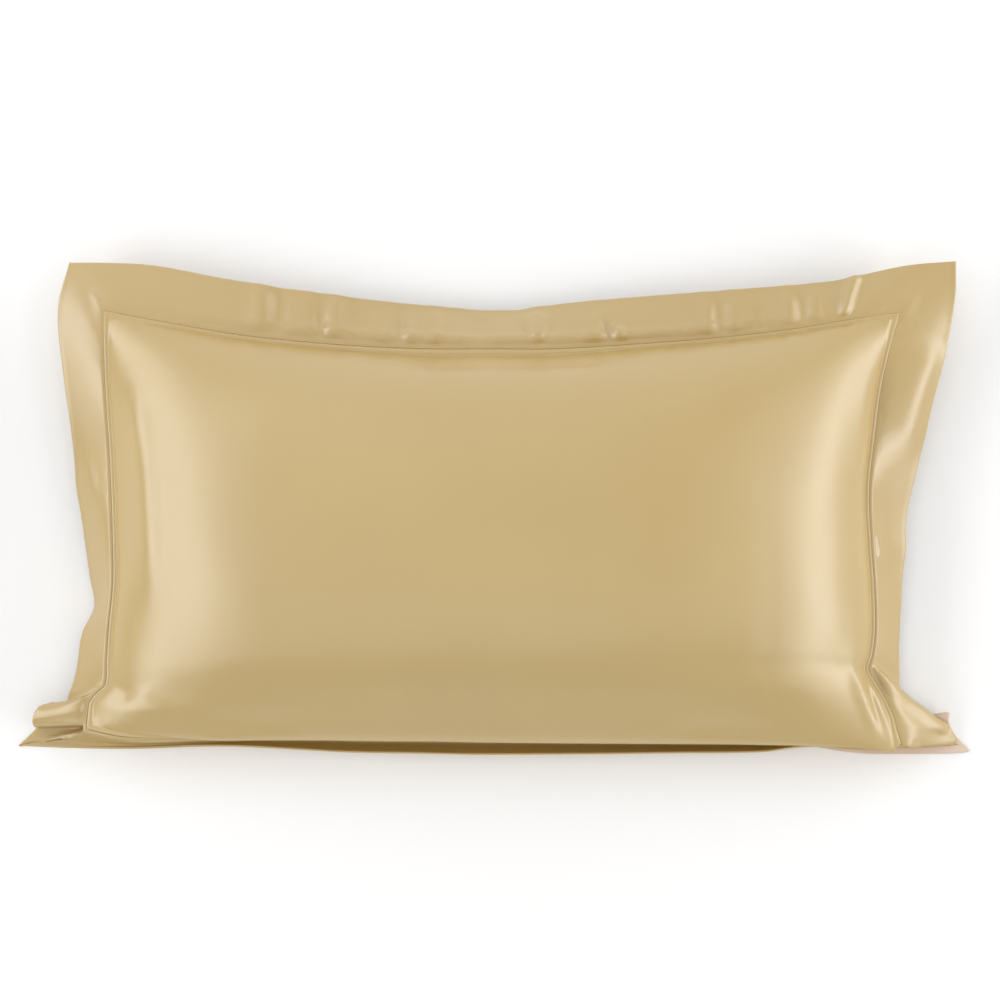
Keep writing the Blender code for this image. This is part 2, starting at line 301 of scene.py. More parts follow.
@dataclass(frozen=True)
class Spacing:
    """How the cells of the cloth are spread along a side: fine at its ends, wide in its middle."""

    places: tuple[float, ...] = (0.0, 0.014, 0.045, 0.09, 0.16)   # from the nearer end, metres
    cells: tuple[float, ...] = (0.0007, 0.0009, 0.0014, 0.0026, 0.0046)
    samples: int = 4000

    def shares(self, length: float, count: int) -> Grid:
        """Spreads cells along a side.

        Args:
            length: the side's length in metres.
            count: the number of cells.

        Returns:
            The shares of the side at which the cells meet, from 0 to 1.
        """
        places = np.linspace(0, length, self.samples)
        nearer = np.minimum(places, length - places)
        density = 1 / np.interp(nearer, self.places, self.cells)
        sums = np.concatenate([[0], np.cumsum((density[1:] + density[:-1]) / 2)])
        return np.interp(np.linspace(0, sums[-1], count + 1), sums, places) / length


class Puckers:
    """Small uneven gathers that run out from a line of stitches."""

    COUNT = 1200             # more than fit along the longest line
    UNEVEN = 0.3             # share of the pitch by which a gather may be out of step
    SHORTEST = 0.4           # share of the reach that is left to the shortest ones
    RISE = 0.25              # share of the reach over which they rise from the stitches

    def __init__(self, seed: int, pitch: float, height: float, reach: float) -> None:
        """Draws the gathers.

        Args:
            seed: seed of the random heights.
            pitch: distance between gathers, in metres.
            height: height of the strongest ones, in metres.
            reach: how far they run out from the stitches, in metres.
        """
        self.height = height
        self.reach = reach
        draw = np.random.default_rng(seed)
        self.knots = np.arange(self.COUNT) * pitch
        self.knots = self.knots + draw.uniform(-self.UNEVEN, self.UNEVEN, self.COUNT) * pitch
        self.values = draw.uniform(-1, 1, self.COUNT) ** 3
        self.reaches = draw.uniform(self.SHORTEST, 1.0, self.COUNT)

    def raise_at(self, along: Grid, away: Grid) -> Grid:
        """Measures the gathers.

        Args:
            along: place along the line of stitches, in metres.
            away: distance from the line of stitches, in metres.

        Returns:
            The height of the gathers, in metres.
        """
        wave = smooth_through(self.knots, self.values, np.ravel(along)).reshape(np.shape(along))
        reach = np.interp(along, self.knots, self.reaches) * self.reach
        rise = smooth(away / (self.RISE * self.reach))
        return self.height * wave * rise * np.exp(-((away / reach) ** 2))


class CaseOutline:
    """The stitch line and the hem, each side a smooth curve through its cuts."""

    CLOTH = 0.002            # thickness of the border's solid
    FLOOR_GAP = 0.0003       # under the hem where it lies on the floor
    POCKET_FLAT = (0.914, 0.508)   # the pocket as it was cut
    CELLS = (288, 164)             # of the cloth, along its long and its short sides
    BORDER_FLAT = 0.0635           # width of the border as it was cut

    def __init__(self, spacing: Spacing) -> None:
        """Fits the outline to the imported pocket.

        Args:
            spacing: how cells are spread along a side.
        """
        self.shift = np.zeros(3)
        sizes = tuple(zip(self.POCKET_FLAT, self.CELLS))
        self.shares = {side: spacing.shares(*sizes[side.value % 2]) for side in Side}
        drafted = np.concatenate([self.stitch(side, self.shares[side]) for side in Side])
        low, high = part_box("pocket")
        middle = (np.array(low) + np.array(high)) / 2
        self.shift = middle - (drafted.min(0) + drafted.max(0)) / 2
        self.shift[2] = 0

    def column(self, side: Side, name: str, along: Grid) -> Grid:
        """Reads one column of a side's cuts at shares of the side."""
        cuts = SIDE_CUTS[side.value]
        places = np.array([cut.along for cut in cuts])
        values = np.array([getattr(cut, name) for cut in cuts], float)
        return smooth_through(places, values, along)

    def edge(self, corners: tuple, side: Side, along: Grid, inside: Grid, up: Grid) -> Grid:
        """Places points of the stitch line or the hem.

        Args:
            corners: the line's four corners.
            side: the side of the case.
            along: shares of the side.
            inside: how far each point lies inside the straight line between the corners.
            up: heights above the floor, all in millimetres.

        Returns:
            One point for each share, in metres.
        """
        start = np.array(corners[side.value], float)
        run = np.array(corners[(side.value + 1) % 4], float) - start
        inward = np.array([-run[1], run[0], 0]) / math.hypot(run[0], run[1])
        points = start + run * np.asarray(along)[:, None] + inward * inside[:, None]
        points[:, 2] = up
        return points * MM + self.shift

    def stitch(self, side: Side, along: Grid) -> Grid:
        """Returns points of the stitch line at shares of a side."""
        inside = self.column(side, "stitch_in", along)
        return self.edge(STITCH_CORNERS, side, along, inside, self.column(side, "stitch_up", along))

    def hem(self, side: Side, along: Grid) -> Grid:
        """Returns points of the hem at shares of a side."""
        inside = self.column(side, "hem_in", along)
        up = np.maximum(self.column(side, "hem_up", along), (self.CLOTH / 2 + self.FLOOR_GAP) / MM)
        points = self.edge(HEM_CORNERS, side, along, inside, up)
        ends = np.array(HEM_CORNERS, float)[[side.value, (side.value + 1) % 4]]
        run = (ends[1] - ends[0]) * (1, 1, 0)
        slide = self.column(side, "hem_slide", along) * MM
        return points + slide[:, None] * run / np.linalg.norm(run)

    def surface(self) -> Grid:
        """Returns the smooth sheet that spans the stitch line, by column and row."""
        lower = self.stitch(Side.LOWER, self.shares[Side.LOWER])[:, None]
        upper = self.stitch(Side.UPPER, 1 - self.shares[Side.LOWER])[:, None]
        right = self.stitch(Side.RIGHT, self.shares[Side.RIGHT])[None, :]
        left = self.stitch(Side.LEFT, 1 - self.shares[Side.RIGHT])[None, :]
        u = self.shares[Side.LOWER][:, None, None]
        v = self.shares[Side.RIGHT][None, :, None]
        corners = (
            (1 - u) * (1 - v) * lower[0, 0]
            + u * (1 - v) * right[0, 0]
            + u * v * upper[-1, 0]
            + (1 - u) * v * left[0, -1]
        )
        return (1 - v) * lower + v * upper + (1 - u) * left + u * right - corners

    def around(self, read: Callable[[Side, Grid], Grid]) -> Grid:
        """Reads every side in turn at its stations, the cuts across the border.

        Args:
            read: takes a side and shares of it, and gives one row for each share.

        Returns:
            The rows of all the stations, anticlockwise from the lower left corner.
        """
        return np.concatenate([read(side, self.shares[side][:-1]) for side in Side])

    def stitch_ring(self, outside: float) -> Grid:
        """Moves the whole stitch line outwards, square to it on both sides of a corner.

        Args:
            outside: how far, in metres.

        Returns:
            One point for each station of the border.
        """
        ring = self.around(self.stitch)
        steps = np.roll(ring, -1, axis=0) - ring
        after = steps[:, :2] / np.linalg.norm(steps[:, :2], axis=1, keepdims=True)
        before = np.roll(after, 1, axis=0)
        turned = np.stack([after[:, 1] + before[:, 1], -after[:, 0] - before[:, 0]], axis=1)
        outward = turned / np.linalg.norm(turned, axis=1, keepdims=True)
        reach = outside / (outward[:, 0] * before[:, 1] - outward[:, 1] * before[:, 0])
        moved = ring.copy()
        moved[:, :2] += outward * reach[:, None]
        return moved

    def flat_ring(self, corners: Grid) -> Grid:
        """Places the stations on a rectangle of the flat case.

        Args:
            corners: the rectangle's corners, from the lower left one, anticlockwise.

        Returns:
            One flat place for each station, in metres.
        """
        ends = np.roll(corners, -1, axis=0)
        return self.around(
            lambda side, along: np.outer(1 - along, corners[side.value])
            + np.outer(along, ends[side.value])
        )


def new_piece(name: str, mesh: bmesh.types.BMesh, flat: Any = None) -> bpy.types.Object:
    """Turns a bmesh into a smooth object with its flat UV map.

    Args:
        name: the piece's name.
        mesh: the bmesh, which is freed.
        flat: the vertex layer that holds the places on the flat cloth, if there is one.

    Returns:
        The new object, linked to the scene.
    """
    bmesh.ops.recalc_face_normals(mesh, faces=mesh.faces)
    if flat is not None:
        layer = mesh.loops.layers.uv.new(FLAT_MAP)
        for face in mesh.faces:
            for loop in face.loops:
                loop[layer].uv = loop.vert[flat].xy
    data = bpy.data.meshes.new(name)
    mesh.to_mesh(data)
    mesh.free()
    data.shade_smooth()
    piece = bpy.data.objects.new(name, data)
    bpy.context.scene.collection.objects.link(piece)
    return piece


def lay_grid(mesh: bmesh.types.BMesh, flat: Any, places: Grid, cloth: Grid) -> None:
    """Adds a grid to a bmesh and moves its vertices into place.

    Args:
        mesh: the bmesh to add to.
        flat: the vertex layer for places on the flat cloth.
        places: the points, by column and row, in metres.
        cloth: the place of each point on the flat cloth, in metres.
    """
    columns, rows = places.shape[0] - 1, places.shape[1] - 1
    made = bmesh.ops.create_grid(mesh, x_segments=columns, y_segments=rows, size=1)
    for vertex in made["verts"]:
        column = round((vertex.co.x + 1) / 2 * columns)
        row = round((vertex.co.y + 1) / 2 * rows)
        vertex.co = places[column, row]
        vertex[flat] = (*cloth[column, row][:2], 0)


def joined_panels(name: str, front: Grid, back: Grid, cloth: Grid) -> bpy.types.Object:
    """Lays two panels and joins them round their edges.

    Args:
        name: the piece's name.
        front: the points of one panel, by column and row.
        back: the points of the other.
        cloth: the place of each point on the flat cloth.

    Returns:
        The new object.
    """
    mesh = bmesh.new()
    flat = mesh.verts.layers.float_vector.new(FLAT_MAP)
    for places in (front, back):
        lay_grid(mesh, flat, places, cloth)
    bmesh.ops.bridge_loops(mesh, edges=[edge for edge in mesh.edges if edge.is_boundary])
    return new_piece(name, mesh, flat)


# Creases of the front panel: on the left, on the right, then along the lower and upper stitches.
FACE_CREASES = (
    Crease("hollow beside the left stitches", (-424, 150), (-411, 10), (-410, -120), 12, -4.5),
    Crease("ridge over the filling, left", (-404, 150), (-376, 20), (-372, -135), 14, 4),
    Crease("lower left dimple", (-414, -168), (-409, -198), (-396, -222), 10, -4.5),
    Crease("lower left swelling", (-386, -198), (-374, -216), (-352, -232), 13, 2.5),
    Crease("ridge over the filling, right", (424, 178), (407, 80), (402, -20), 14, 4),
    Crease("first ridge from the pinch", (386, -168), (399, -213), (418, -252), 8, 6, 0.2, 0.5),
    Crease("trough between the ridges", (402, -182), (408, -211), (424, -254), 4, -5, 0.7, 0.5),
    Crease("second ridge from the pinch", (407, -184), (415, -211), (431, -254), 4, 5, 0.7, 0.5),
    Crease("lower slack, left", (-330, -240), (-270, -243), (-200, -246), 12, -4),
    Crease("lower slack, right", (180, -248), (260, -249), (340, -250), 12, -5),
    Crease("slack under the upper stitches", (-150, 166), (20, 160), (190, 168), 16, -5),
)

# Creases of the border, anticlockwise from its lower right corner.
BORDER_CREASES = (
    Crease("ridge from the right pinch", (410, -180), (446, -212), (488, -240), 6, 7, 0.6, 0.6),
    Crease("hollow above that ridge", (416, -170), (450, -197), (486, -222), 7, -5, 0.5, 0.8),
    Crease("right ripple", (404, -56), (424, -46), (450, -40), 20, 4, 0, 1),
    Crease("roll from hem to right stitches", (488, 190), (464, 128), (447, 45), 18, 5.5, 0.2),
    Crease("upper right pleat", (379, 194), (386, 222), (396, 250), 6, 5, 0.3, 1),
    Crease("swell above the upper stitches", (-395, 222), (5, 183), (405, 222), 6, 3.2),
    Crease("short tuck, left edge", (117, 207), (122, 194), (129, 181), 3, -2, 0, 0.6),
    Crease("short tuck", (131, 196), (133, 188), (136, 178), 5, 2.5, 0, 0.6),
    Crease("kite", (45, 218), (46, 198), (47, 172), 12, 5.5, 0.4, 0),
    Crease("kite, left edge", (28, 204), (37, 186), (46, 170), 4, -2.5, 0.3, 0.6),
    Crease("kite, right edge", (63, 204), (56, 186), (48, 170), 4, -2.5, 0.3, 0.6),
    Crease("roll of the lower left lobe", (-440, -217), (-468, -222), (-506, -227), 9, 5, 0.7, 1),
    Crease("valley above the lobe", (-422, -198), (-446, -206), (-480, -211), 3.5, -4.5, 0.8, 0.8),
    Crease("left ripple", (-432, 30), (-450, 26), (-470, 20), 22, 2, 0, 1),
)

# Upright pleats that run from the upper stitches towards the hem: across, where they start, how
# long they are, how far they fade out to each side, and their height.
UPPER_PLEATS = (
    (-261, 186, 62, 9, 3.4),
    (-237, 185, 62, 9, -3.6),
    (-208, 183, 58, 8, 2.2),
    (-193, 181, 34, 6, -2.6),
    (-178, 180, 56, 8, 3.8),
    (-152, 177, 50, 9, -2.2),
    (-122, 174, 34, 5, 1.6),
    (-107, 173, 46, 6, -2.8),
    (-94, 172, 40, 5, 2.4),
    (-68, 171, 50, 8, 2.8),
    (-20, 169, 48, 14, -2.6),
    (107, 170, 50, 9, 3.0),
    (124, 171, 36, 5, -2.4),
    (137, 172, 32, 5, 2.6),
    (231, 179, 54, 8, 2.6),
    (246, 181, 50, 7, -2.2),
    (261, 182, 54, 7, 2.8),
    (290, 186, 34, 5, -1.8),
    (321, 190, 50, 7, 3.0),
    (337, 193, 40, 5, -2.2),
    (352, 196, 48, 6, 2.6),
)


# How strongly the stitches gather the cloth along each side.
GATHERED = {Side.LOWER: 0.4, Side.RIGHT: 0.5, Side.UPPER: 1.0, Side.LEFT: 0.2}


@dataclass
class FilledPocket:
    """Front and back panel over the filling, with the rib in which they meet."""

    outline: CaseOutline
    crown_rise: float = 0.103        # how far the filling lifts the face over the stitch line
    back_depth: float = 0.086        # how deep the back would hang if no floor flattened it
    floor_round: float = 0.004       # height over which the back turns into its flat patch
    length_power: float = 3.0        # a higher power keeps the middle flatter
    width_power: float = 2.4
    edge_power: float = 0.70         # a lower power makes the face steeper at the stitches
    back_edge_power: float = 0.52
    rim_half: float = 0.00045        # half the gap that the bridge between the panels closes
    rib_height: float = 0.0011       # of the rounded rib beside the stitches
    rib_width: float = 0.0062
    rib_skew: float = 0.9            # a lower power moves its top closer to the stitches
    rib_out: float = 0.0007          # how far it is rolled out over them
    rib_out_at: float = 0.0008       # where it is so most, from the stitches
    overhang: float = 0.012          # how far the filling pushes the face out over the lower side
    overhang_at: float = 0.006       # where it does so most, from the stitches
    overhang_shares: tuple[float, ...] = (0.0, 0.03, 0.19, 0.99, 1.0)   # of the lower side
    overhang_strengths: tuple[float, ...] = (0.0, 0.0, 1.0, 1.0, 0.0)
    wide_rib: float = 0.0060         # what the rib gains in width in the middle of the upper side
    wide_rib_at: float = 0.48        # where, as a share of the side
    wide_rib_reach: float = 0.20     # how far to each side of it, as a share too
    swell_inside: float = 0.8        # share of the rib's width at which the filling starts
    fold_fade: float = 0.3           # share of the swelling over which creases grow
    wave_height: float = 0.0012      # slow unevenness of the filling
    wave_count: int = 14
    wave_lengths: tuple[float, float] = (0.09, 0.30)
    wave_seed: int = 11
    creases: tuple[Crease, ...] = field(default=FACE_CREASES)

    def away(self) -> dict[Side, Grid]:
        """Returns each grid point's distance from the four stretches of the stitch line."""
        length, width = self.outline.POCKET_FLAT
        u = self.outline.shares[Side.LOWER][:, None]
        v = self.outline.shares[Side.RIGHT][None, :]
        spread = np.ones((u.size, v.size))
        return {
            Side.LOWER: v * width * spread,
            Side.RIGHT: (1 - u) * length * spread,
            Side.UPPER: (1 - v) * width * spread,
            Side.LEFT: u * length * spread,
        }

    def rib_widths(self) -> dict[Side, Grid]:
        """Returns the width of the rib along the four sides."""
        u = self.outline.shares[Side.LOWER][:, None]
        widths: dict[Side, Any] = {side: self.rib_width for side in Side}
        bulge = np.exp(-(((u - self.wide_rib_at) / self.wide_rib_reach) ** 2))
        widths[Side.UPPER] = self.rib_width + self.wide_rib * bulge
        return widths

    def swelling(self, inside: float, edge_power: float) -> Grid:
        """Works out how far the filling pushes a panel out.

        Args:
            inside: share of the rib's width at which the filling starts.
            edge_power: the lower it is, the steeper the panel leaves the stitches.

        Returns:
            0 on the stitch line and 1 in the middle, by column and row.
        """
        away = self.away()
        start = {side: width * inside for side, width in self.rib_widths().items()}
        length, width = self.outline.POCKET_FLAT
        u = (away[Side.LEFT] - start[Side.LEFT]) / (length - start[Side.LEFT] - start[Side.RIGHT])
        v = (away[Side.LOWER] - start[Side.LOWER]) / (width - start[Side.LOWER] - start[Side.UPPER])
        length_part = 1 - np.abs(2 * np.clip(u, 0, 1) - 1) ** self.length_power
        width_part = 1 - np.abs(2 * np.clip(v, 0, 1) - 1) ** self.width_power
        return (length_part * width_part) ** edge_power

    def waves(self, places: Grid) -> Grid:
        """Sums slow waves over the panel, for the unevenness of the filling.

        Args:
            places: points by column and row.

        Returns:
            Heights in metres.
        """
        draw = np.random.default_rng(self.wave_seed)
        total = np.zeros(places.shape[:2])
        for _ in range(self.wave_count):
            angle = draw.uniform(0, math.pi)
            length = draw.uniform(*self.wave_lengths)
            phase = draw.uniform(0, 2 * math.pi)
            along = places[..., 0] * math.cos(angle) + places[..., 1] * math.sin(angle)
            total += np.sin(2 * math.pi * along / length + phase) * length
        return total / np.abs(total).max() * self.wave_height

    def front(self) -> Grid:
        """Returns the points of the front panel, by column and row."""
        places = self.outline.surface()
        away = self.away()
        widths = self.rib_widths()
        heights = [
            np.sin(np.pi * np.clip(away[side] / widths[side], 0, 1) ** self.rib_skew) * widths[side]
            for side in Side
        ]
        rib = np.max(heights, axis=0) * self.rib_height / self.rib_width
        lift = self.swelling(self.swell_inside, self.edge_power)
        places[..., 2] += self.rim_half + rib + self.crown_rise * lift
        places[..., :2] += self.pushed_out()
        spots = (places - self.outline.shift)[..., :2].reshape(-1, 2)
        relief = sum(crease.raise_at(spots) for crease in self.creases)
        relief = relief.reshape(lift.shape) + self.waves(places)
        relief *= np.minimum(lift / self.fold_fade, 1)
        gathers = Puckers(seed=5, pitch=0.0075, height=0.0010, reach=0.014)
        for side in Side:
            run = away[Side.LEFT] if side in (Side.LOWER, Side.UPPER) else away[Side.LOWER]
            own = side.value         # each side reads gathers a metre further on
            pulled = gathers.raise_at(own + run, away[side] - widths[side])
            relief += pulled * GATHERED[side]
        return places + surface_normals(places) * relief[..., None]

    def pushed_out(self) -> Grid:
        """Returns how far the face is moved out over its stitches, across and up."""
        away = self.away()
        rolled = {side: self.rib_out * swing(away[side] / self.rib_out_at) for side in Side}
        u = self.outline.shares[Side.LOWER][:, None]
        strength = smooth(np.interp(u, self.overhang_shares, self.overhang_strengths))
        hung = self.overhang * strength * swing(away[Side.LOWER] / self.overhang_at)
        across = rolled[Side.RIGHT] - rolled[Side.LEFT]
        upward = rolled[Side.UPPER] - rolled[Side.LOWER] - hung
        return np.stack([across, upward], axis=-1)

    def back(self) -> Grid:
        """Returns the points of the back panel, flattened where it lies, by column and row."""
        places = self.outline.surface()
        hang = places[..., 2] - self.rim_half - self.back_depth * self.swelling(0.0, self.back_edge_power)
        turn = (hang + self.floor_round) ** 2 / (4 * self.floor_round)
        flattened = np.where(hang < self.floor_round, turn, hang)
        places[..., 2] = np.where(hang <= -self.floor_round, 0.0, flattened)
        return places

    def build(self) -> bpy.types.Object:
        """Builds both panels and joins them at the stitch line."""
        length, width = self.outline.POCKET_FLAT
        u = self.outline.shares[Side.LOWER][:, None]
        v = self.outline.shares[Side.RIGHT][None, :]
        cloth = np.stack(np.broadcast_arrays((u - 0.5) * length, (v - 0.5) * width), axis=-1)
        return joined_panels("pocket_cloth", self.front(), self.back(), cloth)

    def dress(self, piece: bpy.types.Object, material: bpy.types.Material) -> None:
        piece.data.materials.append(material)
        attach(piece, BODY)
        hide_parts("pocket")


@dataclass
class Border:
    """The ring of doubled cloth outside the stitch line."""

    outline: CaseOutline
    thickness: float = 0.0016
    hem_thickness: float = 0.0022
    sewn_gap: float = 0.00036        # between the pocket's edge and the border
    sewn_lip: float = 0.0030         # width that the stitches hold level
    sewn_edge: float = 0.0002        # width of the turn at its inner edge
    falls: tuple[float, ...] = (0.0, 1.0, 2.0)               # values of the column fall
    shoulder_out: tuple[float, ...] = (0.33, 0.33, 0.10)     # the curve's second point, from the
    shoulder_down: tuple[float, ...] = (0.0, 0.33, 0.55)     # stitches, as shares of the way
    toe_in: tuple[float, ...] = (0.35, 0.33, 0.50)           # its third point, from the hem
    toe_up: tuple[float, ...] = (0.35, 0.33, 0.25)
    floor_toe_in: float = 0.65       # where the hem lies on the floor
    rests_below: float = 0.002       # height of a hem that lies on the floor
    hangs_above: float = 0.008       # height of one that hangs free of it
    curled_at: float = 0.026         # height of a tucked hem that is curled up, not flat
    tucked_in: tuple[float, float] = (0.007, 0.001)    # flat and curled: second point, inside
    tucked_left: tuple[float, float] = (0.40, 0.15)    # share of its height that is left
    tucked_toe_in: float = 0.88      # third point: share of the way in from the hem
    tucked_toe_on: tuple[float, float] = (0.026, 0.004)    # and how far on from there
    tucked_toe_z: tuple[float, float] = (-0.006, -0.012)
    rows: int = 26
    rows_crowded: float = 0.10       # how much closer they lie at both edges than in the middle
    hem_width: float = 0.1           # share of the width over which the cloth thickens to the hem
    hem_turns: int = 4               # rows round the edge of the hem
    welded_at: float = 0.000002      # corners of the closed strip this close become one
    fold_start: float = 0.12         # share of the width over which creases grow
    corner_start: float = 0.4        # share of the width over which a corner becomes even
    corner_reaches: tuple[float, ...] = (0.0001, 0.010, 0.075, 0.050)  # how far from each corner
    pleat_bend: float = 1.0          # how far a pleat bends to the right, in millimetres
    pleat_ends: tuple[float, float] = (0.1, 0.35)      # shares of its height at both its ends
    creases: tuple[Crease, ...] = field(default=BORDER_CREASES)

    def middle(self) -> Grid:
        """Returns the points half way through the cloth, by station and row."""
        hem = self.outline.around(self.outline.hem)
        lip = self.outline.stitch_ring(self.sewn_gap + self.sewn_lip)
        sewn = self.outline.stitch_ring(self.sewn_gap)
        turned = self.outline.stitch_ring(self.sewn_gap + self.sewn_edge)
        reach = (hem - lip) * (1, 1, 0)
        drop = (lip - hem) * (0, 0, 1)
        hanging = (hem[:, 2] - self.rests_below) / (self.hangs_above - self.rests_below)
        hanging = np.clip(hanging, 0, 1)[:, None]
        fall = self.column("fall")
        shoulder_out, shoulder_down, toe_in, toe_up = (
            np.interp(fall, self.falls, shares)
            for shares in (self.shoulder_out, self.shoulder_down, self.toe_in, self.toe_up)
        )
        toe_in = self.floor_toe_in + (toe_in - self.floor_toe_in) * hanging
        shoulder = lip + reach * shoulder_out - drop * shoulder_down
        toe = hem - reach * toe_in + drop * toe_up * hanging
        inward = -reach / np.linalg.norm(reach, axis=1, keepdims=True)
        curled = np.clip(hem[:, 2:] / self.curled_at, 0, 1)
        inside, left, toe_on, toe_z = (
            flat + (full - flat) * curled
            for flat, full in (self.tucked_in, self.tucked_left, self.tucked_toe_on, self.tucked_toe_z)
        )
        tucked_shoulder = (lip + inward * inside) * (1, 1, 0) + lip * (0, 0, 1) * left
        tucked_toe = hem - reach * self.tucked_toe_in + inward * toe_on
        tucked_toe[:, 2:] = toe_z
        tuck = np.clip(self.column("tuck"), 0, 1)
        shoulder = shoulder + (tucked_shoulder - shoulder) * tuck
        toe = toe + (tucked_toe - toe) * tuck
        across = self.across()[None, :, None]
        rest = 1 - across
        curve = (
            rest**3 * lip[:, None]
            + 3 * rest**2 * across * shoulder[:, None]
            + 3 * rest * across**2 * toe[:, None]
            + across**3 * hem[:, None]
        )
        curve[..., 2] = self.without_mitres(curve)
        return np.concatenate([sewn[:, None], turned[:, None], curve], axis=1)

    def column(self, name: str) -> Grid:
        """Reads one column of the cuts at every station, as a column of values."""
        return self.outline.around(lambda side, along: self.outline.column(side, name, along))[:, None]

    def without_mitres(self, places: Grid) -> Grid:
        """Evens the cloth out round each corner, where two sides meet at an angle.

        Args:
            places: points by station and row.

        Returns:
            Their heights, close to one plane at each corner and unchanged at the stitches.
        """
        heights = places[..., 2].copy()
        grown = smooth(self.across() / self.corner_start)[None, :]
        for corner in range(4):
            share = self.corner_share(corner)[:, None] * grown
            near = share > 0
            terms = np.column_stack([places[near][:, :2], np.ones(near.sum())])
            weight = np.sqrt(share[near])[:, None]
            plane = np.linalg.lstsq(terms * weight, heights[near] * weight[:, 0], rcond=None)[0]
            heights[near] += (terms @ plane - heights[near]) * share[near]
        return heights

    def corner_share(self, corner: int) -> Grid:
        """Returns how near each station is to a corner, from 0 to 1."""

        def nearness(side: Side, along: Grid) -> Grid:
            """Gives 0 on the two sides that don't meet at the corner."""
            away = {0: along, 1: 1 - along}.get((corner - side.value) % 4)
            if away is None:
                return np.zeros(len(along))
            length = self.outline.POCKET_FLAT[side.value % 2]
            return 1 - smooth(away * length / self.corner_reaches[corner])

        return self.outline.around(nearness)

    def across(self) -> Grid:
        """Returns the shares of the border's width at which its rows lie."""
        even = np.linspace(0, 1, self.rows)
        return even - self.rows_crowded * np.sin(2 * np.pi * even)

    def row_shares(self) -> Grid:
        """Returns the share of the width of every row, the sewn edge included."""
        return np.concatenate([[0, 0], self.across()])

    def pleats(self) -> tuple[Crease, ...]:
        """Returns the upright pleats as creases."""
        pleats = []
        for x, y, length, reach, height in UPPER_PLEATS:
            middle = (x + self.pleat_bend, y + length / 2)
            end = (x, y + length)
            pleats.append(Crease("pleat", (x, y), middle, end, reach, height, *self.pleat_ends))
        return tuple(pleats)

    def relief(self, places: Grid) -> Grid:
        """Sums the creases and gathers of the border.

        Args:
            places: the points half way through the cloth.

        Returns:
            Heights in metres, by station and row.
        """
        spots = (places - self.outline.shift)[..., :2].reshape(-1, 2)
        across = self.row_shares()
        creases = self.creases + self.pleats()
        raised = sum(crease.raise_at(spots) for crease in creases).reshape(places.shape[:2])
        raised *= smooth(across / self.fold_start)[None, :]
        steps = np.linalg.norm(np.diff(places, axis=1), axis=-1)
        away = np.concatenate([np.zeros((len(places), 1)), np.cumsum(steps, axis=1)], axis=1)
        ring = np.linalg.norm(np.diff(places[:, 0], axis=0, append=places[:1, 0]), axis=-1)
        along = np.concatenate([[0], np.cumsum(ring)[:-1]])[:, None] * np.ones_like(away)
        gathers = Puckers(seed=3, pitch=0.0085, height=0.0012, reach=0.018)
        strength = self.outline.around(lambda side, at: np.full(len(at), GATHERED[side]))
        return raised + gathers.raise_at(along, away - self.sewn_lip) * strength[:, None]

    def build(self) -> bpy.types.Object:
        """Builds the ring as a closed strip round its cross-section."""
        middle = self.middle()
        relief = self.relief(middle)
        middle = middle + upper_normals(middle) * relief[..., None]
        normals = upper_normals(middle)
        across = self.row_shares()
        hem_share = smooth((across - (1 - self.hem_width)) / self.hem_width)
        half = (self.thickness + (self.hem_thickness - self.thickness) * hem_share) / 2
        half = half[None, :, None]
        lowest = self.outline.FLOOR_GAP + half[..., 0]
        middle[..., 2] = np.maximum(middle[..., 2], lowest)
        upper = middle + normals * half
        lower = middle - normals * half
        lower[..., 2] = np.maximum(lower[..., 2], self.outline.FLOOR_GAP)
        outward = middle[:, -1] - middle[:, -2]
        outward /= np.linalg.norm(outward, axis=1, keepdims=True)
        turns = []
        for turn in range(1, self.hem_turns + 1):
            angle = math.pi * turn / (self.hem_turns + 1)
            step = normals[:, -1] * math.cos(angle) + outward * math.sin(angle)
            turns.append(middle[:, -1] + step * half[0, -1])
        hem = np.stack(turns, axis=1)
        hem[..., 2] = np.maximum(hem[..., 2], self.outline.FLOOR_GAP)
        section = np.concatenate([upper, hem, lower[:, ::-1], upper[:, :1]], axis=1)
        ring = np.concatenate([section, section[:1]], axis=0)
        mesh = bmesh.new()
        flat = mesh.verts.layers.float_vector.new(FLAT_MAP)
        lay_grid(mesh, flat, ring, self.cloth(across))
        bmesh.ops.remove_doubles(mesh, verts=mesh.verts, dist=self.welded_at)
        return new_piece("border_cloth", mesh, flat)

    def cloth(self, across: Grid) -> Grid:
        """Places every point of the cross-sections on the flat cloth.

        Args:
            across: shares of the border's width, from the stitches to the hem.

        Returns:
            Flat places in metres, by station and point of the cross-section.
        """
        half = np.array(self.outline.POCKET_FLAT) / 2
        signs = np.array([(-1, -1), (1, -1), (1, 1), (-1, 1)], float)
        inner = self.outline.flat_ring(signs * half)
        outer = self.outline.flat_ring(signs * (half + self.outline.BORDER_FLAT))
        shares = np.concatenate([across, np.ones(self.hem_turns), across[::-1], [0]])[None, :, None]
        flat = inner[:, None] * (1 - shares) + outer[:, None] * shares
        return np.concatenate([flat, flat[:1]], axis=0)

    def dress(self, piece: bpy.types.Object, material: bpy.types.Material) -> None:
        piece.data.materials.append(material)
        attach(piece, BODY)
        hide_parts("border")


